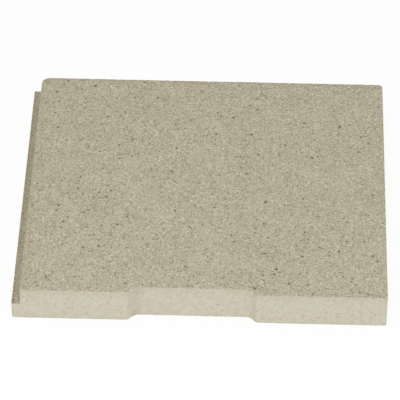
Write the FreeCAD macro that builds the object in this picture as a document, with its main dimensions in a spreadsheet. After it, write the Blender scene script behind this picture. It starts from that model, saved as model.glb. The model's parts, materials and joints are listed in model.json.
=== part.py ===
import FreeCAD, Part
import os

import Sketcher

# Refractory firebrick: one pressed and fired panel of 10 by 9 by 1 inch that lies flat.
# Millimetres. X runs from left to right, Y from front to back and Z up. The origin is
# the middle of the underside. A ledge sticks out along the whole left side, where the
# upper half is cut back, and the front edge has a shallow notch through the full
# thickness, with sloping ends.

# name, value, what it is
SIZES = [
    ("brick_length", 254.0, "left to right, with the ledge"),
    ("brick_width", 228.6, "front to back"),
    ("brick_thickness", 25.4, "underside to top face"),
    ("rebate_width", 6.0, "how far the ledge sticks out past the upper half"),
    ("ledge_thickness", 12.7, "underside to the rebate's shelf"),
    ("notch_start", 79.0, "left end of the brick to the left end of the notch"),
    ("notch_mouth", 86.8, "length of the notch along the front edge"),
    ("notch_depth", 5.4, "front edge to the notch's floor"),
    ("notch_left_run", 4.5, "length along X of the left sloping end"),
    ("notch_right_run", 4.2, "length along X of the right sloping end"),
    ("left_shoulder_radius", 3.5, "left end of the notch, where it leaves the front edge"),
    ("left_root_radius", 8.0, "left end of the notch, where it meets the floor"),
    ("right_root_radius", 8.0, "right end of the notch, where it meets the floor"),
    ("right_shoulder_radius", 1.2, "right end of the notch, the crisp one"),
    ("rear_left_radius", 5.5, "rear left corner of the upper half"),
    ("front_left_radius", 1.2, "front left corner of the upper half"),
    ("ledge_front_radius", 2.0, "front corner of the ledge"),
    ("ledge_rear_radius", 1.0, "rear corner of the ledge"),
    ("front_right_radius", 1.5, "front right corner, full thickness"),
    ("rear_right_radius", 3.4, "rear right corner, full thickness"),
    ("top_arris_radius", 0.9, "rounding round the top face"),
    ("bottom_arris_radius", 0.7, "rounding round the underside"),
    ("ledge_arris_radius", 0.6, "rounding of the ledge's upper edge"),
]

SHEET = "sizes"
NODE = "firebrick"
START = 1
END = 2
SKETCH_ORIGIN = (-1, 1)
NEAR = 1e-4
VOLUME_TOLERANCE = 1e-6


def fill_sheet(doc):
    """The spreadsheet that every sketch and fillet takes its sizes from."""
    sheet = doc.addObject("Spreadsheet::Sheet", SHEET)
    for row, (alias, value, note) in enumerate(SIZES, start=1):
        sheet.set(f"A{row}", alias)
        sheet.set(f"B{row}", str(value))
        sheet.set(f"C{row}", note)
        sheet.setAlias(f"B{row}", alias)
    doc.recompute()
    return sheet


def sketch_on(body, role, name):
    """An empty sketch on one of the body's own origin planes."""
    planes = [item for item in body.Origin.OriginFeatures if item.Role == role]
    sketch = body.newObject("Sketcher::SketchObject", name)
    sketch.AttachmentSupport = (planes[0], [""])
    sketch.MapMode = "FlatFace"
    return sketch


def draw_outline(sketch, points):
    """Straight lines from point to point and back to the first, joined at the corners."""
    corners = [FreeCAD.Vector(x, y, 0) for x, y in points]
    following = corners[1:] + corners[:1]
    for corner, next_corner in zip(corners, following):
        sketch.addGeometry(Part.LineSegment(corner, next_corner), False)
    for line in range(len(corners)):
        next_line = (line + 1) % len(corners)
        sketch.addConstraint(Sketcher.Constraint("Coincident", line, END, next_line, START))


def dimension(sketch, name, kind, start, end, formula):
    """A named distance between two points of the sketch, which follows the sheet."""
    gap = sketch.getPoint(*end) - sketch.getPoint(*start)
    drawn = gap.x if kind == "DistanceX" else gap.y
    sketch.addConstraint(Sketcher.Constraint(kind, *start, *end, drawn))
    sketch.renameConstraint(sketch.ConstraintCount - 1, name)
    sketch.setExpression(f"Constraints.{name}", formula)


def draw_section(body, sheet):
    """The section across the brick: a rectangle with the rebate out of its upper left."""
    left = -sheet.brick_length / 2
    right = sheet.brick_length / 2
    wall = left + sheet.rebate_width
    top = sheet.brick_thickness
    shelf = sheet.ledge_thickness
    sketch = sketch_on(body, "XZ_Plane", "section")
    draw_outline(sketch, [
        (left, 0), (right, 0), (right, top), (wall, top), (wall, shelf), (left, shelf),
    ])
    for line, direction in enumerate(["Horizontal", "Vertical"] * 3):
        sketch.addConstraint(Sketcher.Constraint(direction, line))
    sketch.addConstraint(Sketcher.Constraint("Symmetric", 0, START, 0, END, *SKETCH_ORIGIN))
    dimension(sketch, "length", "DistanceX", (0, START), (0, END), "sizes.brick_length")
    dimension(sketch, "thickness", "DistanceY", (1, START), (1, END), "sizes.brick_thickness")
    dimension(sketch, "rebate", "DistanceX", (4, END), (4, START), "sizes.rebate_width")
    dimension(sketch, "ledge", "DistanceY", (5, END), (5, START), "sizes.ledge_thickness")
    return sketch


def extrude_section(body, section):
    """The whole brick before its notch and roundings, as wide as it is front to back."""
    pad = body.newObject("PartDesign::Pad", "rebated_slab")
    pad.Profile = section
    pad.SideType = "Symmetric"
    pad.setExpression("Length", "sizes.brick_width")
    body.Tip = pad
    body.Document.recompute()
    return pad


def draw_notch(body, sheet):
    """The notch in plan, open at the front edge, and placed from the brick's left end."""
    left = -sheet.brick_length / 2
    front = -sheet.brick_width / 2
    floor = front + sheet.notch_depth
    mouth_left = left + sheet.notch_start
    mouth_right = mouth_left + sheet.notch_mouth
    floor_left = mouth_left + sheet.notch_left_run
    floor_right = mouth_right - sheet.notch_right_run
    sketch = sketch_on(body, "XY_Plane", "notch_plan")
    draw_outline(sketch, [
        (mouth_left, front), (floor_left, floor), (floor_right, floor), (mouth_right, front),
    ])
    brick_corner = FreeCAD.Vector(left, front, 0)
    notch_corner = FreeCAD.Vector(mouth_left, front, 0)
    sketch.addGeometry(Part.LineSegment(brick_corner, notch_corner), True)
    sketch.addConstraint(Sketcher.Constraint("Coincident", 4, END, 0, START))
    for line in (1, 3, 4):
        sketch.addConstraint(Sketcher.Constraint("Horizontal", line))
    dimension(sketch, "half_length", "DistanceX", (4, START), SKETCH_ORIGIN, "sizes.brick_length / 2")
    dimension(sketch, "half_width", "DistanceY", (4, START), SKETCH_ORIGIN, "sizes.brick_width / 2")
    dimension(sketch, "offset", "DistanceX", (4, START), (4, END), "sizes.notch_start")
    dimension(sketch, "mouth", "DistanceX", (0, START), (2, END), "sizes.notch_mouth")
    dimension(sketch, "depth", "DistanceY", (0, START), (0, END), "sizes.notch_depth")
    dimension(sketch, "left_run", "DistanceX", (0, START), (0, END), "sizes.notch_left_run")
    dimension(sketch, "right_run", "DistanceX", (2, START), (2, END), "sizes.notch_right_run")
    return sketch


def cut_notch(body, plan, sheet):
    """Cuts the notch through the full thickness, and measures what came out."""
    before = body.Tip.Shape.Volume
    pocket = body.newObject("PartDesign::Pocket", "front_notch")
    pocket.Profile = plan
    pocket.Type = "ThroughAll"
    pocket.SideType = "Symmetric"
    body.Tip = pocket
    body.Document.recompute()
    mean_length = sheet.notch_mouth - (sheet.notch_left_run + sheet.notch_right_run) / 2
    expected = mean_length * sheet.notch_depth * sheet.brick_thickness
    removed = before - pocket.Shape.Volume
    if abs(removed - expected) > VOLUME_TOLERANCE * before:
        raise ValueError(f"the notch took {removed:.1f} mm3 out, not {expected:.1f}")
    return pocket


def upright_through(x, y, z):
    """Tells whether an edge is upright and passes through the point."""
    def chosen(edge):
        box = edge.BoundBox
        off_line = max(abs(box.XMin - x), abs(box.XMax - x), abs(box.YMin - y), abs(box.YMax - y))
        return off_line < NEAR and box.ZMin < z < box.ZMax
    return chosen


def level_at(z):
    """Tells whether an edge lies flat at the height."""
    def chosen(edge):
        box = edge.BoundBox
        return max(abs(box.ZMin - z), abs(box.ZMax - z)) < NEAR
    return chosen


def ledge_lip(sheet):
    """Tells whether an edge is the ledge's long upper edge, at the brick's left end."""
    level = level_at(sheet.ledge_thickness)

    def chosen(edge):
        return level(edge) and abs(edge.BoundBox.XMax + sheet.brick_length / 2) < NEAR
    return chosen


def round_off(body, name, chosen):
    """Rounds the chosen edges of the brick so far, with the radius of the same name."""
    base = body.Tip
    edges = enumerate(base.Shape.Edges, start=1)
    names = [f"Edge{number}" for number, edge in edges if chosen(edge)]
    if not names:
        raise ValueError(f"no edge to round for {name}")
    fillet = body.newObject("PartDesign::Fillet", name)
    fillet.Base = (base, names)
    fillet.setExpression("Radius", f"sizes.{name}_radius")
    body.Tip = fillet
    body.Document.recompute()
    return fillet


def round_upright_edges(body, sheet):
    """The notch's four corners, then the corners of the upper half, ledge and right side."""
    left = -sheet.brick_length / 2
    right = sheet.brick_length / 2
    front = -sheet.brick_width / 2
    rear = sheet.brick_width / 2
    wall = left + sheet.rebate_width
    mouth_left = left + sheet.notch_start
    mouth_right = mouth_left + sheet.notch_mouth
    floor = front + sheet.notch_depth
    in_ledge = sheet.ledge_thickness / 2
    in_upper_half = (sheet.ledge_thickness + sheet.brick_thickness) / 2
    corners = [
        ("left_shoulder", mouth_left, front, in_ledge),
        ("left_root", mouth_left + sheet.notch_left_run, floor, in_ledge),
        ("right_root", mouth_right - sheet.notch_right_run, floor, in_ledge),
        ("right_shoulder", mouth_right, front, in_ledge),
        ("rear_left", wall, rear, in_upper_half),
        ("front_left", wall, front, in_upper_half),
        ("ledge_front", left, front, in_ledge),
        ("ledge_rear", left, rear, in_ledge),
        ("front_right", right, front, in_ledge),
        ("rear_right", right, rear, in_ledge),
    ]
    for name, x, y, z in corners:
        round_off(body, name, upright_through(x, y, z))


def build_firebrick(doc, sheet):
    body = doc.addObject("PartDesign::Body", NODE)
    extrude_section(body, draw_section(body, sheet))
    cut_notch(body, draw_notch(body, sheet), sheet)
    round_upright_edges(body, sheet)
    round_off(body, "top_arris", level_at(sheet.brick_thickness))
    round_off(body, "bottom_arris", level_at(0))
    round_off(body, "ledge_arris", ledge_lip(sheet))
    body.Label = NODE
    return body


def check(doc, body):
    """Stops if any feature failed, or if the brick isn't one sound solid."""
    for item in doc.Objects:
        if "Invalid" in item.State or "Error" in item.State:
            raise ValueError(f"{item.Label} failed: {item.State}")
    shape = body.Shape
    if shape.isNull() or not shape.isValid() or len(shape.Solids) != 1:
        raise ValueError(f"{body.Label} isn't one valid solid")


def main():
    doc = FreeCAD.newDocument("refractory_firebrick")
    sheet = fill_sheet(doc)
    body = build_firebrick(doc, sheet)
    doc.recompute()
    check(doc, body)
    os.makedirs("parts", exist_ok=True)
    body.Shape.exportStep(f"parts/{body.Label}.step")
    box = body.Shape.optimalBoundingBox(False, False)
    print(f"{body.Label}: {box.XLength:.2f} x {box.YLength:.2f} x {box.ZLength:.2f} mm,"
          f" {body.Shape.Volume / 1000:.1f} cm3")


main()
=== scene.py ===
import json
import math
from collections import namedtuple

import bpy
import numpy as np
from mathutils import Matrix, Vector
from mathutils.geometry import delaunay_2d_cdt
from mathutils.kdtree import KDTree


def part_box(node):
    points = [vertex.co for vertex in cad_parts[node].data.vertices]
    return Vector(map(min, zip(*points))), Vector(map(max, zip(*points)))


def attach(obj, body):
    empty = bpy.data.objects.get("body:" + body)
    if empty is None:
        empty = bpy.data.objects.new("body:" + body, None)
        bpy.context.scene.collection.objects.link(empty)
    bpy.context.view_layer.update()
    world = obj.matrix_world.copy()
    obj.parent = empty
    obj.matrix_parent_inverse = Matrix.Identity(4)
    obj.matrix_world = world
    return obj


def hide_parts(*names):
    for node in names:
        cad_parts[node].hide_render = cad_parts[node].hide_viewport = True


# A refractory firebrick panel that lies on a pale floor. Lengths are in millimetres up to
# the point where a mesh is written, which is in metres, as the frame is.
MM = 0.001
MM2_IN_CM2 = 100
NODE = "firebrick"
SLOT = "fireclay"

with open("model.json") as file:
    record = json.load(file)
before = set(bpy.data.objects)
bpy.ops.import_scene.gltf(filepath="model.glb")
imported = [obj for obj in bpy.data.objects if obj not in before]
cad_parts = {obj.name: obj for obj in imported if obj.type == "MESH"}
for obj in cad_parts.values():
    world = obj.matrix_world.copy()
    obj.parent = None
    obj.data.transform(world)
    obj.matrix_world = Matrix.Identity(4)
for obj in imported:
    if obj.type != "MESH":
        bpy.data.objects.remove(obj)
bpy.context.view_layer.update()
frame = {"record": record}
mounts = {mount["name"]: mount for mount in frame["record"]["mounts"]}

LEFT, FRONT, BOTTOM = (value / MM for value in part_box(NODE)[0])
RIGHT, REAR, TOP = (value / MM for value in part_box(NODE)[1])
SHELF = mounts["rebate_shelf"]["pos_m"][2] / MM
NOTCH_FLOOR = mounts["notch_floor"]["pos_m"][1] / MM

# The rebate, the notch and the corners in plan, as they are in the solid.
REBATE_WIDTH = 6.0
NOTCH_START = 79.0
NOTCH_MOUTH = 86.8
NOTCH_LEFT_RUN = 4.5
NOTCH_RIGHT_RUN = 4.2
LEFT_SHOULDER_RADIUS = 3.5
LEFT_ROOT_RADIUS = 8.0
RIGHT_ROOT_RADIUS = 8.0
RIGHT_SHOULDER_RADIUS = 1.2
REAR_LEFT_RADIUS = 5.5
FRONT_LEFT_RADIUS = 1.2
LEDGE_FRONT_RADIUS = 2.0
LEDGE_REAR_RADIUS = 1.0
FRONT_RIGHT_RADIUS = 1.5
REAR_RIGHT_RADIUS = 3.4

WALL = LEFT + REBATE_WIDTH
NOTCH_LEFT = LEFT + NOTCH_START
NOTCH_RIGHT = NOTCH_LEFT + NOTCH_MOUTH

# How far each edge is worn round, and by what share that changes along it, in waves of a
# length and a weight. An edge of the shelf takes no more than a share of the shelf's width.
TOP_ARRIS = 0.45
BOTTOM_ARRIS = 0.35
LEDGE_ARRIS = 0.4
ROOT_FILLET = 0.45
ARRIS_SWING = 0.38
ARRIS_WAVES = ((14.0, 0.6), (2.6, 0.7))
MOST_OF_SHELF = 0.4

# The main seed, and those of the waves: each edge takes two, the relief takes four from the
# main seed on, and the chips take one.
SEED = 20
TOP_NOISE = 11
BOTTOM_NOISE = 13
LEDGE_NOISE = 15
ROOT_NOISE = 17
CHIP_NOISE = 40

# Large odd numbers, shifts and masks that turn the corner of a lattice into a random number.
CORNER_KEYS = (73856093, 19349663, 83492791)
SEED_KEY = 2654435761
MIXING = ((13, 1274126177), (16, 668265263))
KEPT_BITS = 0x7FFFFFFF
VALUE_BITS = 0xFFFFF

# Mesh spacings: along the edges, of the rows beside them, and over the faces. A jitter is
# the share of a spacing that a point is moved by at random.
RIM_STEP = 1.1
ARC_STEP = 0.45
RIM_ROWS = (0.28, 0.62, 1.05, 1.6)
SHELF_ROOT_ROWS = 3
TOP_SPACING = 1.55
WALL_SPACING = 1.7
SHELF_SPACING = 1.3
UNDERSIDE_SPACING = 3.0
GRID_JITTER = 0.28
WALL_JITTER = 0.25

# A row keeps the points that are at least this share of its distance from the outline, and
# points that lie closer than these lengths are left out, welded or taken as one.
ROW_CROWDING = 0.93
CLOSEST_POINTS = 0.25
WELD_STEP = 0.0001
SAME_PLACE = 1e-5

# The way of triangulating that fills only the inside of an outline.
INSIDE_ONLY = 1

# Rings of points in a speck, a pit and a grain: share of the radius, points, share of the
# depth. Spots keep a gap, have a share of their shade at the rim, and are not quite round.
SPECK_RINGS = ((0.0, 1, 1.0), (0.7, 6, 0.9), (1.0, 8, 0.0))
PIT_RINGS = ((0.0, 1, 1.0), (0.5, 5, 0.8), (1.0, 8, 0.0))
GRAIN_RINGS = ((0.0, 1, 1.0), (1.0, 6, 0.0))
SPOT_GAP = 0.35
RIM_SHADE = 0.25
LEAST_STRETCH = 0.75
LEAST_REACH = 0.82

# Kinds of spots: how many on a square centimetre, their least and greatest radius, their
# depth as a share of it, negative for a grain that stands up, and a shade from -1 to 1.
Kind = namedtuple("Kind", "density smallest largest shallow deep darkest palest rings")
FACE_SPOTS = (
    Kind(0.15, 0.70, 1.10, 0.15, 0.35, -1.00, -0.92, SPECK_RINGS),
    Kind(0.44, 0.48, 0.80, 0.15, 0.40, -0.90, -0.50, SPECK_RINGS),
    Kind(1.70, 0.30, 1.00, 0.30, 0.70, -0.35, -0.05, PIT_RINGS),
    Kind(1.60, 0.35, 0.80, -0.20, -0.10, 0.20, 0.90, GRAIN_RINGS),
)
SIDE_SPOTS = (
    Kind(0.10, 0.45, 0.75, 0.15, 0.40, -0.36, -0.14, SPECK_RINGS),
    Kind(1.40, 0.30, 0.85, 0.25, 0.60, -0.30, -0.05, PIT_RINGS),
    Kind(1.20, 0.30, 0.70, -0.15, -0.08, 0.20, 0.80, GRAIN_RINGS),
)
UNDER_SPOTS = (
    Kind(0.12, 0.55, 0.90, 0.15, 0.40, -1.00, -0.70, SPECK_RINGS),
    Kind(0.45, 0.50, 1.30, 0.25, 0.60, -0.35, -0.05, PIT_RINGS),
)

# Relief below the pressed surface: its mean and its least depth, waves as a length and a
# height, and the depth of a pit that takes its full painted shade. Where the shelf runs out
# into the rear side, all points within a reach of that place sink the same way.
MEAN_DEPTH = 0.09
LEAST_DEPTH = 0.005
SWELLS = ((45.0, 0.03), (9.0, 0.02), (3.2, 0.025), (1.9, 0.025))
DEEP_PIT = 0.5
RUN_OUT = (WALL + REAR_LEFT_RADIUS, REAR, SHELF)
RUN_OUT_REACH = (2.5, 0.5, 0.6)

# Chips in the edges, how uneven they are, and how round an edge must be to have them. The one
# plain nick is in the front edge, left of the notch.
Chips = namedtuple("Chips", "count smallest largest shallow deep")
TOP_CHIPS = Chips(90, 0.6, 1.8, 0.08, 0.22)
BOTTOM_CHIPS = Chips(80, 0.6, 2.0, 0.08, 0.18)
LEDGE_CHIPS = Chips(25, 0.6, 1.5, 0.10, 0.26)
CHIP_UNEVENNESS = 0.3
CHIP_WAVE = 1.2
LEAST_CHIPPED_ARRIS = 0.2
NICK_X = -69.0
NICK_RADIUS = 2.4
NICK_DEPTH = 0.9

# Painted shade, as a share of the full one: on the sides under their upper edges, along the
# top's rear and left edges where less light reaches, on the shelf in the shade of the wall
# above it, and beside the notch's left root in its inner corner. Each reach is how far it
# fades over, but the shelf's is a share of the rebate's width. Down the sides, those of the
# upper edges fade with a power of the height.
SIDE_PAINTED_SHADE = 0.30
FADING_POWER = 5
REAR_PAINTED_SHADE = 0.4
REAR_PAINTED_SHADE_REACH = 2.2
LEFT_PAINTED_SHADE = 0.15
LEFT_PAINTED_SHADE_REACH = 6.0
SHELF_PAINTED_SHADE = 1.05
SHELF_PAINTED_SHADE_REACH = 0.75
LEAST_SHELF_PAINTED_SHADE = 0.1
ROOT_PAINTED_SHADE = 0.24
ROOT_PAINTED_SHADE_REACH = 3.0
ROOT_PAINTED_SHADE_SHIFT = 1.8
ROOT_PAINTED_SHADE_X = NOTCH_LEFT + NOTCH_LEFT_RUN + ROOT_PAINTED_SHADE_SHIFT

# The stage, in metres. The room and the lamp together light an upward face at one.
FLOOR_REACH = 8.0
FLOOR_COLOR = (0.95, 0.95, 0.95)
FLOOR_GLOW = 0.9
ROOM_LIGHT = 0.78
LAMP_SIZE = 0.56
LAMP_LIGHT = 0.22
LAMP_DISTANCE = 1.0
LAMP_AZIMUTH = math.radians(-4)
LAMP_ELEVATION = math.radians(52)

# Colours as a screen shows them, from 0 to 255.
DARK_GRAIN = (106, 97, 71)
PALE_GRAIN = (224, 219, 196)
WARM_BINDER = (190, 170, 139)
# Brown specks, and the painted shade in the pits.
BROWN_SPECK_AND_PIT_SHADE = (106, 92, 62)
DARK_SPECK = (57, 47, 16)
PALE_SPECK = (226, 218, 195)
DARK_SKIN = (147, 141, 117)
PALE_SKIN = (243, 238, 222)
RUBBED_EDGE = (212, 205, 184)
# The tint that painted shade multiplies into the colour.
PAINTED_SHADE_TINT = (221, 217, 206)

# The size of the grains that the material paints, and its noises: their size in
# millimetres, their detail and its roughness, and the range of their values that counts.
GRAIN_SIZE = 1.05
Noise = namedtuple("Noise", "size detail roughness low high")
FINE_NOISE = Noise(0.8, 2.0, 0.6, 0.25, 0.75)
CLOUD_NOISE = Noise(22.0, 3.0, 0.55, 0.3, 0.7)
MOTTLE_NOISE = Noise(3.0, 2.0, 0.6, 0.3, 0.7)
FACE_WARMTH_NOISE = Noise(7.0, 2.0, 0.5, 0.35, 0.65)
SIDE_WARMTH_NOISE = Noise(9.0, 2.0, 0.5, 0.4, 0.65)
RUBBED_NOISE = Noise(5.0, 2.0, 0.5, 0.4, 0.65)

# How far each moves the tone, where one is the way from the dark colour to the pale one.
GRAIN_CONTRAST = 0.12
FINE_CONTRAST = 0.375
CLOUD_CONTRAST = 0.03
SIDE_FINE_CONTRAST = 0.15
MOTTLE_CONTRAST = 0.07

# The most that each colour covers of what lies below it.
FACE_WARMTH = 0.22
SIDE_WARMTH = 0.12
DARK_SPOT_COVER = 0.93
PALE_SPOT_COVER = 0.85
# The most painted shade, in the deepest pits.
PIT_SHADE_COVER = 0.12
RUBBED_COVER = 0.3

# Painted specks lie one to a cell: the cells' size, which of a cell's three random numbers
# sets the speck's size, below which value there is no speck, its cover and its colour. The
# largest speck's radius is a share of the cells' size.
Specks = namedtuple("Specks", "cell_size channel none_below cover paint")
BROWN_SPECKS = Specks(2.3, 1, 0.35, 0.66, BROWN_SPECK_AND_PIT_SHADE)
PALE_SPECKS = Specks(3.1, 2, 0.45, 0.6, PALE_SPECK)
LARGEST_SPECK = 0.3

# The fine relief that is only shaded: its depth in millimetres, the shares of its two parts,
# and its strength on the faces and on the sides.
BUMP_DEPTH = 0.35
FINE_BUMP = 0.6
GRAIN_BUMP = 0.5
FACE_BUMP_STRENGTH = 0.7
SIDE_BUMP_STRENGTH = 0.35

# How dull the surface is, with the range of the fine noise that moves it.
LEAST_ROUGHNESS = 0.86
MOST_ROUGHNESS = 0.97
ROUGHNESS_RANGE = (0.3, 0.7)
SPECULAR = 0.25

# The photo's camera: its focal length and optical axis in pixels of a 400 pixel frame.
FRAME_PIXELS = 400
FOCAL_PIXELS = 3025
AXIS_PIXEL = 180.4
SENSOR_WIDTH = 36.0
CAMERA_PLACE = (0.03826, -1.60485, 1.40750)
CAMERA_PITCH = math.radians(41.045)
CAMERA_YAW = math.radians(1.947)
CAMERA_SIGHT = 50.0

rng = np.random.default_rng(SEED)


def unit(vector):
    return vector / np.linalg.norm(vector, axis=-1, keepdims=True)


def corner_values(corners, seed):
    """A random number from -1 to 1 for each corner of a lattice, the same one each time."""
    x, y, z = (corners * CORNER_KEYS).T
    key = x ^ y ^ z ^ (seed * SEED_KEY)
    for shift, factor in MIXING:
        key = (key ^ (key >> shift)) * factor & KEPT_BITS
    return (key & VALUE_BITS) / (VALUE_BITS // 2) - 1


def lattice_noise(points, wavelength, seed):
    """Smooth noise from -1 to 1 that changes over about one wavelength."""
    grid = points / wavelength
    cell = np.floor(grid).astype(np.int64)
    blend = grid - cell
    blend = blend * blend * (3 - 2 * blend)
    total = np.zeros(len(points))
    for corner in np.ndindex(2, 2, 2):
        share = np.where(corner, blend, 1 - blend).prod(axis=1)
        total += corner_values(cell + corner, seed) * share
    return total


def nearest(points, targets):
    """For each point, the number of the nearest target and the distance to it, in plan."""
    tree = KDTree(len(targets))
    for number, target in enumerate(targets):
        tree.insert((target[0], target[1], 0), number)
    tree.balance()
    found = [tree.find((point[0], point[1], 0)) for point in points]
    return np.array([hit[1] for hit in found], int), np.array([hit[2] for hit in found])


def is_inside(points, outline):
    """Which points lie inside a closed outline, by how often a ray crosses it."""
    inside = np.zeros(len(points), bool)
    x, y = points.T
    for start, end in zip(outline, np.roll(outline, -1, axis=0)):
        spans = (start[1] > y) != (end[1] > y)
        if spans.any():
            cut = start[0] + (y - start[1]) * (end[0] - start[0]) / (end[1] - start[1])
            inside ^= spans & (x < cut)
    return inside


def rounded_path(corners):
    """Points along straight runs and round corners. A corner is (x, y, radius)."""
    path = [np.array(corners[0][:2])]
    for before, corner, after in zip(corners, corners[1:], corners[2:]):
        here = np.array(corner[:2])
        back = unit(np.array(before[:2]) - here)
        on = unit(np.array(after[:2]) - here)
        turn = math.pi - math.acos(np.clip(back @ on, -1, 1))
        radius = corner[2]
        centre = here + unit(back + on) * radius / math.cos(turn / 2)
        reach = radius * math.tan(turn / 2)
        start_spoke = here + back * reach - centre
        end_spoke = here + on * reach - centre
        steps = math.ceil(turn * radius / ARC_STEP) + 1
        for share in np.linspace(0, 1, steps):
            spoke = math.sin((1 - share) * turn) * start_spoke + math.sin(share * turn) * end_spoke
            path.append(centre + spoke / math.sin(turn))
    path.append(np.array(corners[-1][:2]))
    return np.array(path)


def resampled(path, step):
    """The path with its long runs divided evenly and its empty ones dropped."""
    points = [path[0]]
    for start, end in zip(path, path[1:]):
        length = np.linalg.norm(end - start)
        if length > CLOSEST_POINTS / 2:
            count = math.ceil(length / step)
            points.extend(start + (end - start) * i / count for i in range(1, count + 1))
    return np.array(points)


def make_path(corners, first_normal, last_normal):
    """A stretch of outline. Its end normals are given, because the stretches meet there."""
    points = resampled(rounded_path(corners), RIM_STEP)
    steps = np.linalg.norm(np.diff(points, axis=0), axis=1)
    runs = unit(np.diff(points, axis=0))
    bends = unit(runs[:-1] + runs[1:])
    across = np.stack((-bends[:, 1], bends[:, 0]), axis=1)
    return {
        "points": points,
        "normals": np.vstack((first_normal, across, last_normal)),
        "lengths": np.concatenate(([0.0], np.cumsum(steps))),
    }


def outline_paths():
    """The stretch that both halves share, and the left stretch of each, anticlockwise."""
    front_split = (WALL + FRONT_LEFT_RADIUS, FRONT, 0)
    rear_split = (WALL + REAR_LEFT_RADIUS, REAR, 0)
    front_inward = (0.0, 1.0)
    rear_inward = (0.0, -1.0)
    shared = [
        front_split,
        (NOTCH_LEFT, FRONT, LEFT_SHOULDER_RADIUS),
        (NOTCH_LEFT + NOTCH_LEFT_RUN, NOTCH_FLOOR, LEFT_ROOT_RADIUS),
        (NOTCH_RIGHT - NOTCH_RIGHT_RUN, NOTCH_FLOOR, RIGHT_ROOT_RADIUS),
        (NOTCH_RIGHT, FRONT, RIGHT_SHOULDER_RADIUS),
        (RIGHT, FRONT, FRONT_RIGHT_RADIUS),
        (RIGHT, REAR, REAR_RIGHT_RADIUS),
        rear_split,
    ]
    upper = [
        rear_split,
        (WALL, REAR, REAR_LEFT_RADIUS),
        (WALL, FRONT, FRONT_LEFT_RADIUS),
        front_split,
    ]
    ledge = [
        rear_split,
        (LEFT, REAR, LEDGE_REAR_RADIUS),
        (LEFT, FRONT, LEDGE_FRONT_RADIUS),
        front_split,
    ]
    return (
        make_path(shared, front_inward, rear_inward),
        make_path(upper, rear_inward, front_inward),
        make_path(ledge, rear_inward, front_inward),
    )


def joined(first, second):
    """Two stretches as one closed loop, without the points that they repeat."""
    return {
        "points": np.vstack((first["points"], second["points"][1:-1])),
        "normals": np.vstack((first["normals"], second["normals"][1:-1])),
    }


def make_rim(path, level, inward, upward, radius, seed, room=None):
    """An edge along a path, with the radius that it is worn to at each of its points.

    Its face spreads along the path's normals, or against them where inward is -1, and its
    wall goes up, or down where upward is -1. A room is a path that the radius keeps clear of.
    """
    places = np.column_stack((path["points"], np.full(len(path["points"]), level)))
    swing = sum(weight * lattice_noise(places, wavelength, seed + number)
                for number, (wavelength, weight) in enumerate(ARRIS_WAVES))
    radii = radius * (1 + ARRIS_SWING * swing)
    if room is not None:
        radii = np.minimum(radii, MOST_OF_SHELF * nearest(path["points"], room["points"])[1])
    return {"path": path, "level": level, "inward": inward, "upward": upward, "radii": radii}


def round_over(points, rim):
    """The points, with those next to the rim moved onto a quarter circle."""
    number = nearest(points, rim["path"]["points"])[0]
    normal = rim["path"]["normals"][number] * rim["inward"]
    radius = rim["radii"][number]
    across = ((points[:, :2] - rim["path"]["points"][number]) * normal).sum(axis=1)
    along_z = (points[:, 2] - rim["level"]) * rim["upward"]
    distance = np.abs(across) + np.abs(along_z)
    near = distance < radius
    angle = math.pi / 4 * (1 - distance[near] / radius[near])
    run = radius[near] * (1 - np.sin(angle))
    drop = radius[near] * (1 - np.cos(angle))
    on_wall = np.abs(along_z[near]) > np.abs(across[near])
    new_across = np.where(on_wall, drop, run)
    new_along_z = np.where(on_wall, run, drop)
    moved = points.copy()
    moved[near, :2] += normal[near] * (new_across - across[near])[:, None]
    moved[near, 2] += rim["upward"] * (new_along_z - along_z[near])
    return moved


def scatter_spots(low, high, kinds):
    """Spots at random places in a rectangle, none of which touch, most near their least size."""
    area = np.prod(np.subtract(high, low)) / MM2_IN_CM2
    spots = []
    for kind in kinds:
        for _ in range(round(kind.density * area)):
            radius = kind.smallest + (kind.largest - kind.smallest) * rng.random() ** 2
            spots.append({
                "centre": rng.uniform(low, high),
                "radius": radius,
                "depth": radius * rng.uniform(kind.shallow, kind.deep),
                "shade": rng.uniform(kind.darkest, kind.palest),
                "rings": kind.rings,
            })
    centres = np.array([spot["centre"] for spot in spots])
    radii = np.array([spot["radius"] for spot in spots])
    gaps = np.linalg.norm(centres[:, None] - centres[None], axis=2)
    touches = gaps < radii[:, None] + radii[None] + SPOT_GAP
    is_free = ~np.tril(touches, -1).any(axis=1)
    return [spot for spot, free in zip(spots, is_free) if free]


def keep_clear_of(spots, outline):
    """The spots inside the outline that stay off its worn rim."""
    centres = np.array([spot["centre"] for spot in spots])
    radii = np.array([spot["radius"] for spot in spots])
    clear = nearest(centres, outline)[1] - radii > RIM_ROWS[-1] + SPOT_GAP
    return [spot for spot, fits in zip(spots, clear & is_inside(centres, outline)) if fits]


def spot_points(spots):
    """Mesh points of all spots, as rows of x, y, depth and shade."""
    rows = []
    for spot in spots:
        heading = rng.uniform(0, math.pi)
        stretch = rng.uniform(LEAST_STRETCH, 1.0)
        for reach, count, depth in spot["rings"]:
            start = rng.uniform(0, math.tau)
            for i in range(count):
                angle = start + math.tau * i / count
                radius = spot["radius"] * reach * rng.uniform(LEAST_REACH, 1.0)
                along = radius * math.cos(angle)
                across = radius * math.sin(angle) * stretch
                x = spot["centre"][0] + along * math.cos(heading) - across * math.sin(heading)
                y = spot["centre"][1] + along * math.sin(heading) + across * math.cos(heading)
                shade = spot["shade"] * (1.0 if reach < 1 else RIM_SHADE)
                rows.append((x, y, spot["depth"] * depth, shade))
    return np.array(rows).reshape(-1, 4)


def outside_spots(points, spots):
    """The points that are clear of every spot."""
    if not spots:
        return points
    number, distance = nearest(points, [spot["centre"] for spot in spots])
    radii = np.array([spot["radius"] for spot in spots])
    return points[distance > radii[number] + SPOT_GAP]


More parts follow.
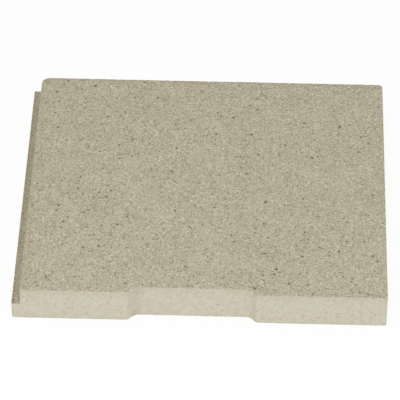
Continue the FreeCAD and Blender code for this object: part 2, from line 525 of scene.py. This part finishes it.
def triangulate(outline, inner, spots):
    """Triangles over a flat region. The points come back as rows of u, v, depth and shade."""
    plain = np.vstack((outline, outside_spots(inner, spots)))
    rows = np.column_stack((plain, np.zeros((len(plain), 2))))
    rows = np.vstack((rows, spot_points(spots)))
    ring = list(range(len(outline)))
    flat = [Vector(row[:2]) for row in rows]
    result = delaunay_2d_cdt(flat, [], [ring], INSIDE_ONLY, SAME_PLACE, True)
    faces, sources = result[2:4]
    source = np.array([numbers[0] for numbers in sources])
    triangles = source[np.array(faces)]
    spans_outline = (triangles < len(outline)).all(axis=1)
    middles = rows[triangles[spans_outline], :2].mean(axis=1)
    spans_outline[spans_outline] = ~is_inside(middles, outline)
    return rows, triangles[~spans_outline]


def jittered_grid(low, high, spacing):
    """Rows of points, every second row half a step along, each moved a little."""
    row_height = spacing * math.sqrt(3) / 2
    rows = []
    for i in range(math.ceil((high[1] - low[1]) / row_height)):
        x = np.arange(low[0] + spacing * (i % 2) / 2, high[0], spacing)
        rows.append(np.column_stack((x, np.full(len(x), low[1] + i * row_height))))
    grid = np.vstack(rows)
    return grid + rng.uniform(-GRID_JITTER, GRID_JITTER, grid.shape) * spacing


def offset_row(path, distance, outline):
    """Points one distance inside the outline, thinned out where it turns tightly."""
    row = path["points"] + path["normals"] * distance
    row = row[nearest(row, outline)[1] >= ROW_CROWDING * abs(distance)]
    kept = [row[0]]
    for point in row[1:]:
        if np.linalg.norm(point - kept[-1]) >= CLOSEST_POINTS:
            kept.append(point)
    return np.array(kept)


def rim_rows(path, outline):
    """The rows of points inside a rim."""
    return [offset_row(path, row, outline) for row in RIM_ROWS]


def face_patch(outline, rows, level, faces_up, spacing, spots):
    """A flat horizontal face: its rim rows, then evenly spread points."""
    grid = jittered_grid(outline.min(axis=0), outline.max(axis=0), spacing)
    clear = RIM_ROWS[-1] + spacing / 2
    grid = grid[nearest(grid, outline)[1] > clear]
    inner = np.vstack(rows + [grid])
    inner = inner[is_inside(inner, outline)]
    flat, triangles = triangulate(outline, inner, spots)
    if not faces_up:
        triangles = triangles[:, ::-1]
    return {
        "points": np.column_stack((flat[:, :2], np.full(len(flat), level))),
        "triangles": triangles,
        "depth": flat[:, 2],
        "shade": flat[:, 3],
        "skin": 0.0,
    }


def wall_levels(low, high):
    """Heights of the rows of a wall between its two rims."""
    rim = np.array(RIM_ROWS)
    middle = high - low - 2 * rim[-1]
    count = round(middle / WALL_SPACING)
    steps = low + rim[-1] + middle * np.arange(1, count) / count
    return np.concatenate(([low], low + rim, steps, high - rim[::-1], [high]))


def wall_spots(path, low, high):
    """Spots over a wall, in its flat form."""
    margin = RIM_ROWS[-1] + SPOT_GAP + max(kind.largest for kind in SIDE_SPOTS)
    far_corner = (path["lengths"][-1] - margin, high - margin)
    return scatter_spots((margin, low + margin), far_corner, SIDE_SPOTS)


def wall_rows(lengths, low, high):
    """The rows of points between a wall's two rims. Those beside a rim stay straight."""
    half_steps = (lengths[1:] + lengths[:-1])[:-1] / 2
    rows = []
    for i, height in enumerate(wall_levels(low, high)[1:-1]):
        on_rim = min(height - low, high - height) <= RIM_ROWS[-1] + CLOSEST_POINTS
        along = lengths[1:-1] if on_rim or i % 2 else half_steps[1:]
        wobble = 0 if on_rim else rng.uniform(-WALL_JITTER, WALL_JITTER, len(along)) * WALL_SPACING
        rows.append(np.column_stack((along, height + wobble * np.ones(len(along)))))
    return np.vstack(rows)


def wall_patch(path, low, high, end_levels):
    """An upright wall, made flat as length along the path and height, then stood up."""
    spots = wall_spots(path, low, high)
    lengths = path["lengths"]
    levels = end_levels[1:-1]
    outline = np.vstack((
        np.column_stack((lengths, np.full(len(lengths), low))),
        np.column_stack((np.full(len(levels), lengths[-1]), levels)),
        np.column_stack((lengths[::-1], np.full(len(lengths), high))),
        np.column_stack((np.zeros(len(levels)), levels[::-1])),
    ))
    flat, triangles = triangulate(outline, wall_rows(lengths, low, high), spots)
    x = np.interp(flat[:, 0], lengths, path["points"][:, 0])
    y = np.interp(flat[:, 0], lengths, path["points"][:, 1])
    return {
        "points": np.column_stack((x, y, flat[:, 1])),
        "triangles": triangles,
        "depth": flat[:, 2],
        "shade": flat[:, 3],
        "skin": 1.0,
    }


def wide_faces(top_loop, bottom_loop):
    """The top and the underside."""
    corners = ((LEFT, FRONT), (RIGHT, REAR))
    top_outline = top_loop["points"]
    bottom_outline = bottom_loop["points"]
    top_spots = keep_clear_of(scatter_spots(*corners, FACE_SPOTS), top_outline)
    under_spots = keep_clear_of(scatter_spots(*corners, UNDER_SPOTS), bottom_outline)
    top_rows = rim_rows(top_loop, top_outline)
    bottom_rows = rim_rows(bottom_loop, bottom_outline)
    return (
        face_patch(top_outline, top_rows, TOP, True, TOP_SPACING, top_spots),
        face_patch(bottom_outline, bottom_rows, BOTTOM, False, UNDERSIDE_SPACING, under_spots),
    )


def shelf_face(upper, ledge):
    """The rebate's shelf, with fewer rows beside its inner corner than beside its edge."""
    outline = np.vstack((ledge["points"], upper["points"][-2:0:-1]))
    rows = rim_rows(ledge, outline)
    rows += [offset_row(upper, -row, outline) for row in RIM_ROWS[:SHELF_ROOT_ROWS]]
    return face_patch(outline, rows, SHELF, True, SHELF_SPACING, [])


def build_patches():
    """The faces of the brick, each with the rims that round it over, and the chipped rims."""
    shared, upper, ledge = outline_paths()
    top_loop = joined(shared, upper)
    bottom_loop = joined(shared, ledge)
    top_rim = make_rim(top_loop, TOP, inward=1, upward=-1, radius=TOP_ARRIS, seed=TOP_NOISE)
    bottom_rim = make_rim(
        bottom_loop, BOTTOM, inward=1, upward=1, radius=BOTTOM_ARRIS, seed=BOTTOM_NOISE)
    ledge_rim = make_rim(
        ledge, SHELF, inward=1, upward=-1, radius=LEDGE_ARRIS, seed=LEDGE_NOISE, room=upper)
    root = make_rim(
        upper, SHELF, inward=-1, upward=1, radius=ROOT_FILLET, seed=ROOT_NOISE, room=ledge)

    low_levels = wall_levels(BOTTOM, SHELF)
    high_levels = wall_levels(SHELF, TOP)
    all_levels = np.concatenate((low_levels, high_levels[1:]))

    top, underside = wide_faces(top_loop, bottom_loop)
    patches = (
        (top, (top_rim,)),
        (underside, (bottom_rim,)),
        (shelf_face(upper, ledge), (ledge_rim, root)),
        (wall_patch(shared, BOTTOM, TOP, all_levels), (top_rim, bottom_rim)),
        (wall_patch(upper, SHELF, TOP, high_levels), (top_rim, root)),
        (wall_patch(ledge, BOTTOM, SHELF, low_levels), (ledge_rim, bottom_rim)),
    )
    return patches, ((top_rim, TOP_CHIPS), (bottom_rim, BOTTOM_CHIPS), (ledge_rim, LEDGE_CHIPS))


def weld(patches):
    """One closed mesh from the patches, whose outlines share their points."""
    flat = np.vstack([patch["points"] for patch, _ in patches])
    shaped = []
    for patch, rims in patches:
        points = patch["points"]
        for rim in rims:
            points = round_over(points, rim)
        shaped.append(points)
    shaped = np.vstack(shaped)
    starts = np.cumsum([0] + [len(patch["points"]) for patch, _ in patches])
    triangles = np.vstack([patch["triangles"] + start for (patch, _), start in zip(patches, starts)])
    places = np.round(flat / WELD_STEP).astype(np.int64)
    _, first, number = np.unique(places, axis=0, return_index=True, return_inverse=True)
    number = number.ravel()
    uses = np.bincount(number)
    skins = np.concatenate([np.full(len(patch["points"]), patch["skin"]) for patch, _ in patches])
    return {
        "points": shaped[first],
        "triangles": number[triangles],
        "depth": np.concatenate([patch["depth"] for patch, _ in patches])[first],
        "shade": np.concatenate([patch["shade"] for patch, _ in patches])[first],
        "skin": np.bincount(number, weights=skins) / uses,
    }


def vertex_normals(points, triangles):
    a, b, c = (points[triangles[:, i]] for i in range(3))
    face_normals = np.cross(b - a, c - a)
    totals = np.zeros_like(points)
    for i in range(3):
        np.add.at(totals, triangles[:, i], face_normals)
    return unit(totals)


def make_chips(rims):
    """Chips along the edges, as a centre, a radius and a depth."""
    chips = [(np.array((NICK_X, FRONT, TOP)), NICK_RADIUS, NICK_DEPTH)]
    for rim, kind in rims:
        points = rim["path"]["points"]
        for number in rng.integers(0, len(points), kind.count):
            radius = kind.smallest + (kind.largest - kind.smallest) * rng.random() ** 3
            depth = radius * rng.uniform(kind.shallow, kind.deep)
            if rim["radii"][number] > LEAST_CHIPPED_ARRIS:
                chips.append((np.array((*points[number], rim["level"])), radius, depth))
    return chips


def relief_moves(body, normals):
    """How each point moves down to its relief, with one heading where the shelf runs out."""
    points = body["points"]
    depth = np.full(len(points), MEAN_DEPTH)
    for number, (wavelength, height) in enumerate(SWELLS):
        depth += height * lattice_noise(points, wavelength, SEED + number)
    moves = -normals * np.maximum(depth + body["depth"], LEAST_DEPTH)[:, None]
    narrow = (np.abs(points - RUN_OUT) < RUN_OUT_REACH).all(axis=1)
    moves[narrow] = moves[narrow].mean(axis=0)
    return moves


def chip_moves(body, normals, chips):
    """How each point moves for the chips. One chip has one direction, so the mesh can't fold."""
    points = body["points"]
    moves = np.zeros_like(points)
    for centre, radius, depth in chips:
        gap = np.linalg.norm(points - centre, axis=1)
        near = gap < radius
        bowl = (1 - (gap[near] / radius) ** 2) ** 1.5
        uneven = 1 + CHIP_UNEVENNESS * lattice_noise(points[near], CHIP_WAVE, CHIP_NOISE)
        heading = unit((normals[near] * bowl[:, None]).sum(axis=0))
        moves[near] -= heading * (depth * bowl * uneven)[:, None]
    return moves


def painted_shade_at(points, skin):
    """Painted shade at each point: most on the shelf, a little at the edges and in the notch."""
    height = np.clip((points[:, 2] - BOTTOM) / (TOP - BOTTOM), 0, 1)
    fading = height ** FADING_POWER
    # Painted shade: the sides darker towards their upper edges.
    painted_shade = SIDE_PAINTED_SHADE * skin * fading
    # Painted shade along the top's rear and left edges.
    painted_shade += REAR_PAINTED_SHADE * fading * np.exp(-((REAR - points[:, 1]) / REAR_PAINTED_SHADE_REACH) ** 2)
    painted_shade += LEFT_PAINTED_SHADE * fading * np.exp(-((points[:, 0] - WALL) / LEFT_PAINTED_SHADE_REACH) ** 2)
    # Painted shade on the shelf beside the wall, most at its outer edge.
    across = (points[:, 0] - LEFT) / REBATE_WIDTH
    on_shelf = (across < 1) & (np.abs(points[:, 2] - SHELF) < LEDGE_ARRIS)
    share = np.clip(1 - across[on_shelf] / SHELF_PAINTED_SHADE_REACH, LEAST_SHELF_PAINTED_SHADE, 1)
    painted_shade[on_shelf] = SHELF_PAINTED_SHADE * share
    # Painted shade in the notch's left inner corner.
    gap = np.hypot(points[:, 0] - ROOT_PAINTED_SHADE_X, points[:, 1] - NOTCH_FLOOR)
    return painted_shade + ROOT_PAINTED_SHADE * skin * np.exp(-(gap / ROOT_PAINTED_SHADE_REACH) ** 2)


def slant(normals):
    """One where the surface lies at 45 degrees, as on an edge, and zero on a face or a side."""
    level = np.abs(normals[:, 2])
    return 2 * level * np.sqrt(1 - np.minimum(level, 1) ** 2)


def build_brick():
    """The brick as one closed mesh, with what its material needs to know at each point."""
    patches, chipped_rims = build_patches()
    body = weld(patches)
    normals = vertex_normals(body["points"], body["triangles"])
    chips = make_chips(chipped_rims)
    points = body["points"] + relief_moves(body, normals) + chip_moves(body, normals, chips)
    values = {
        "shade": body["shade"],
        "skin": body["skin"],
        # Painted shade on the shelf, at the edges and in the notch's corner.
        "painted_shade": painted_shade_at(points, body["skin"]),
        "wear": slant(normals),
        # Painted shade in the pits, by their depth.
        "pit_shade": np.clip(body["depth"] / DEEP_PIT, 0, 1),
    }
    mesh = bpy.data.meshes.new("pressed_brick")
    mesh.from_pydata((points * MM).tolist(), [], body["triangles"].tolist())
    for name, numbers in values.items():
        attribute = mesh.attributes.new(name, "FLOAT", "POINT")
        attribute.data.foreach_set("value", numbers.astype(np.float32))
    mesh.shade_smooth()
    brick = bpy.data.objects.new("pressed_brick", mesh)
    bpy.context.scene.collection.objects.link(brick)
    return brick


def srgb(red, green, blue):
    """A screen's colour as the linear colour of a shader, by the numbers of the sRGB standard."""
    shares = np.array((red, green, blue)) / 255
    linear = np.where(shares <= 0.04045, shares / 12.92, ((shares + 0.055) / 1.055) ** 2.4)
    return (*linear, 1.0)


class Shader:
    """A short way to write a node tree: each call adds a node and links what goes in."""

    def __init__(self, owner):
        owner.use_nodes = True
        self.tree = owner.node_tree
        self.tree.nodes.clear()

    def node(self, kind, inputs, **settings):
        node = self.tree.nodes.new(kind)
        for name, value in settings.items():
            setattr(node, name, value)
        for socket, value in inputs.items():
            if isinstance(value, bpy.types.NodeSocket):
                self.tree.links.new(value, node.inputs[socket])
            else:
                node.inputs[socket].default_value = value
        return node

    def place(self):
        """Where a point is on the object, in millimetres."""
        spot = self.node("ShaderNodeTexCoord", {}).outputs["Object"]
        mapping = self.node("ShaderNodeMapping", {"Vector": spot, "Scale": (1 / MM, 1 / MM, 1 / MM)})
        return mapping.outputs["Vector"]

    def seen_as_white(self):
        """One for the rays that see a white backdrop, and zero for those that carry its light."""
        rays = self.node("ShaderNodeLightPath", {}).outputs
        seen = self.math("MAXIMUM", rays["Is Camera Ray"], rays["Is Glossy Ray"])
        return self.math("MAXIMUM", seen, rays["Is Transmission Ray"])

    def noise(self, place, kind):
        inputs = {"Vector": place, "Scale": 1 / kind.size}
        inputs |= {"Detail": kind.detail, "Roughness": kind.roughness}
        return self.node("ShaderNodeTexNoise", inputs).outputs["Fac"]

    def cells(self, place, size):
        inputs = {"Vector": place, "Scale": 1 / size}
        return self.node("ShaderNodeTexVoronoi", inputs)

    def channel(self, cells, number):
        """One random number for each cell."""
        split = self.node("ShaderNodeSeparateColor", {"Color": cells.outputs["Color"]})
        return split.outputs[number]

    def value(self, name):
        return self.node("ShaderNodeAttribute", {}, attribute_name=name).outputs["Fac"]

    def math(self, operation, first, second=0.0, third=0.0):
        inputs = {0: first, 1: second, 2: third}
        return self.node("ShaderNodeMath", inputs, operation=operation).outputs[0]

    def spread(self, value, low, high, new_low=0.0, new_high=1.0):
        """Takes the range from low to high to a new range, and holds it at the ends."""
        inputs = {"Value": value, "From Min": low, "From Max": high}
        inputs |= {"To Min": new_low, "To Max": new_high}
        return self.node("ShaderNodeMapRange", inputs).outputs["Result"]

    def patches(self, place, kind, low, high):
        """A noise whose range is taken to a new one, from low to high."""
        return self.spread(self.noise(place, kind), kind.low, kind.high, low, high)

    def blend(self, share, first, second, blend_type="MIX"):
        """A mix of two colours, which are this node's inputs 6 and 7 and its output 2."""
        inputs = {"Factor": share, 6: first, 7: second}
        node = self.node("ShaderNodeMix", inputs, data_type="RGBA", blend_type=blend_type)
        return node.outputs[2]

    def bump(self, height, strength, depth):
        inputs = {"Height": height, "Strength": strength, "Distance": depth * MM}
        return self.node("ShaderNodeBump", inputs).outputs["Normal"]


def speckled(shader, place, color, specks):
    """The colour with round specks painted in some of the cells."""
    cells = shader.cells(place, specks.cell_size)
    number = shader.channel(cells, specks.channel)
    radius = shader.spread(number, specks.none_below, 1.0, 0.0, LARGEST_SPECK)
    in_speck = shader.math("LESS_THAN", cells.outputs["Distance"], radius)
    return shader.blend(shader.math("MULTIPLY", in_speck, specks.cover), color, srgb(*specks.paint))


def face_color(shader, place, grains, fine):
    """The pressed faces: grains of many tones in a warm binder, with painted specks."""
    tone = shader.math(
        "ADD",
        shader.spread(shader.channel(grains, 0), 0, 1, -GRAIN_CONTRAST, GRAIN_CONTRAST),
        shader.spread(fine, FINE_NOISE.low, FINE_NOISE.high, -FINE_CONTRAST, FINE_CONTRAST))
    clouds = shader.patches(place, CLOUD_NOISE, -CLOUD_CONTRAST, CLOUD_CONTRAST)
    tone = shader.spread(shader.math("ADD", tone, clouds), -0.5, 0.5)
    color = shader.blend(tone, srgb(*DARK_GRAIN), srgb(*PALE_GRAIN))
    warmth = shader.patches(place, FACE_WARMTH_NOISE, 0, FACE_WARMTH)
    color = shader.blend(warmth, color, srgb(*WARM_BINDER))
    color = speckled(shader, place, color, BROWN_SPECKS)
    return speckled(shader, place, color, PALE_SPECKS)


def side_color(shader, place, fine):
    """The sides, which the mould has left paler, finer and a little mottled."""
    tone = shader.math(
        "ADD",
        shader.spread(fine, FINE_NOISE.low, FINE_NOISE.high, -SIDE_FINE_CONTRAST, SIDE_FINE_CONTRAST),
        shader.patches(place, MOTTLE_NOISE, -MOTTLE_CONTRAST, MOTTLE_CONTRAST))
    color = shader.blend(shader.spread(tone, -0.5, 0.5), srgb(*DARK_SKIN), srgb(*PALE_SKIN))
    warmth = shader.patches(place, SIDE_WARMTH_NOISE, 0, SIDE_WARMTH)
    return shader.blend(warmth, color, srgb(*WARM_BINDER))


def marked(shader, color, place):
    """The colour with its spots, painted shade, painted shade in the pits and rubbed edges."""
    shade = shader.value("shade")
    color = shader.blend(shader.spread(shade, 0, -1, 0, DARK_SPOT_COVER), color, srgb(*DARK_SPECK))
    color = shader.blend(shader.spread(shade, 0, 1, 0, PALE_SPOT_COVER), color, srgb(*PALE_SPECK))
    # Painted shade, multiplied into the colour.
    color = shader.blend(shader.value("painted_shade"), color, srgb(*PAINTED_SHADE_TINT), "MULTIPLY")
    # Painted shade in the pits, deeper ones darker.
    pit_shade = shader.math("MULTIPLY", shader.value("pit_shade"), PIT_SHADE_COVER)
    color = shader.blend(pit_shade, color, srgb(*BROWN_SPECK_AND_PIT_SHADE))
    patchy = shader.patches(place, RUBBED_NOISE, 0, RUBBED_COVER)
    rubbed = shader.math("MULTIPLY", shader.value("wear"), patchy)
    return shader.blend(rubbed, color, srgb(*RUBBED_EDGE))


def grainy_normal(shader, skin, grains, fine):
    """The relief too fine for the mesh, softer on the sides than on the faces."""
    height = shader.math(
        "ADD",
        shader.math("MULTIPLY", fine, FINE_BUMP),
        shader.math("MULTIPLY", grains.outputs["Distance"], GRAIN_BUMP))
    strength = shader.spread(skin, 0, 1, FACE_BUMP_STRENGTH, SIDE_BUMP_STRENGTH)
    return shader.bump(height, strength, BUMP_DEPTH)


def fireclay():
    """Pressed fireclay: grainy and speckled on the faces, with a paler, finer skin on the sides."""
    material = bpy.data.materials.new(SLOT)
    shader = Shader(material)
    place = shader.place()
    skin = shader.value("skin")
    grains = shader.cells(place, GRAIN_SIZE)
    fine = shader.noise(place, FINE_NOISE)
    color = shader.blend(skin, face_color(shader, place, grains, fine), side_color(shader, place, fine))
    surface = shader.node("ShaderNodeBsdfPrincipled", {
        "Base Color": marked(shader, color, place),
        "Roughness": shader.spread(fine, *ROUGHNESS_RANGE, LEAST_ROUGHNESS, MOST_ROUGHNESS),
        "Normal": grainy_normal(shader, skin, grains, fine),
        "Specular IOR Level": SPECULAR,
    })
    shader.node("ShaderNodeOutputMaterial", {"Surface": surface.outputs["BSDF"]})
    return material


def lay_floor():
    """A pale floor. The camera sees part of it as plain white, which keeps the shadow faint."""
    mesh = bpy.data.meshes.new("floor")
    corners = [(-FLOOR_REACH, -FLOOR_REACH, 0), (FLOOR_REACH, -FLOOR_REACH, 0),
               (FLOOR_REACH, FLOOR_REACH, 0), (-FLOOR_REACH, FLOOR_REACH, 0)]
    mesh.from_pydata(corners, [], [(0, 1, 2, 3)])
    floor = bpy.data.objects.new("floor", mesh)
    bpy.context.scene.collection.objects.link(floor)
    material = bpy.data.materials.new("floor")
    shader = Shader(material)
    paint = shader.node("ShaderNodeBsdfDiffuse", {"Color": (*FLOOR_COLOR, 1)})
    glow = shader.node("ShaderNodeEmission", {"Color": (1, 1, 1, 1), "Strength": 1.0})
    share = shader.math("MULTIPLY", shader.seen_as_white(), FLOOR_GLOW)
    mix = shader.node("ShaderNodeMixShader", {0: share, 1: paint.outputs[0], 2: glow.outputs[0]})
    shader.node("ShaderNodeOutputMaterial", {"Surface": mix.outputs[0]})
    mesh.materials.append(material)


def light_scene():
    """A soft white room, and one large lamp in front of the brick and above it."""
    world = bpy.data.worlds.new("room")
    shader = Shader(world)
    strength = shader.spread(shader.seen_as_white(), 0, 1, ROOM_LIGHT, 1.0)
    walls = shader.node("ShaderNodeBackground", {"Color": (1, 1, 1, 1), "Strength": strength})
    shader.node("ShaderNodeOutputWorld", {"Surface": walls.outputs[0]})
    bpy.context.scene.world = world

    lamp = bpy.data.lights.new("lamp", "AREA")
    lamp.shape = "DISK"
    lamp.size = LAMP_SIZE
    lamp.energy = LAMP_LIGHT * (math.pi * LAMP_DISTANCE) ** 2 / math.sin(LAMP_ELEVATION)
    holder = bpy.data.objects.new("lamp", lamp)
    heading = Vector((
        math.cos(LAMP_ELEVATION) * math.sin(LAMP_AZIMUTH),
        -math.cos(LAMP_ELEVATION) * math.cos(LAMP_AZIMUTH),
        math.sin(LAMP_ELEVATION),
    ))
    holder.location = heading * LAMP_DISTANCE
    holder.rotation_euler = heading.to_track_quat("Z", "Y").to_euler()
    bpy.context.scene.collection.objects.link(holder)


def place_camera():
    """The camera as the photo's perspective gives it."""
    data = bpy.data.cameras.new("camera")
    data.sensor_fit = "HORIZONTAL"
    data.sensor_width = SENSOR_WIDTH
    data.lens = FOCAL_PIXELS / FRAME_PIXELS * SENSOR_WIDTH
    data.shift_x = (FRAME_PIXELS / 2 - AXIS_PIXEL) / FRAME_PIXELS
    data.clip_end = CAMERA_SIGHT
    camera = bpy.data.objects.new("camera", data)
    camera.location = CAMERA_PLACE
    camera.rotation_euler = (math.pi / 2 - CAMERA_PITCH, 0, CAMERA_YAW)
    bpy.context.scene.collection.objects.link(camera)
    bpy.context.scene.camera = camera


place_camera()
lay_floor()
light_scene()
brick = build_brick()
brick.data.materials.append(fireclay())
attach(brick, "root")
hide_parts(NODE)

bpy.context.scene.view_settings.view_transform = "Standard"
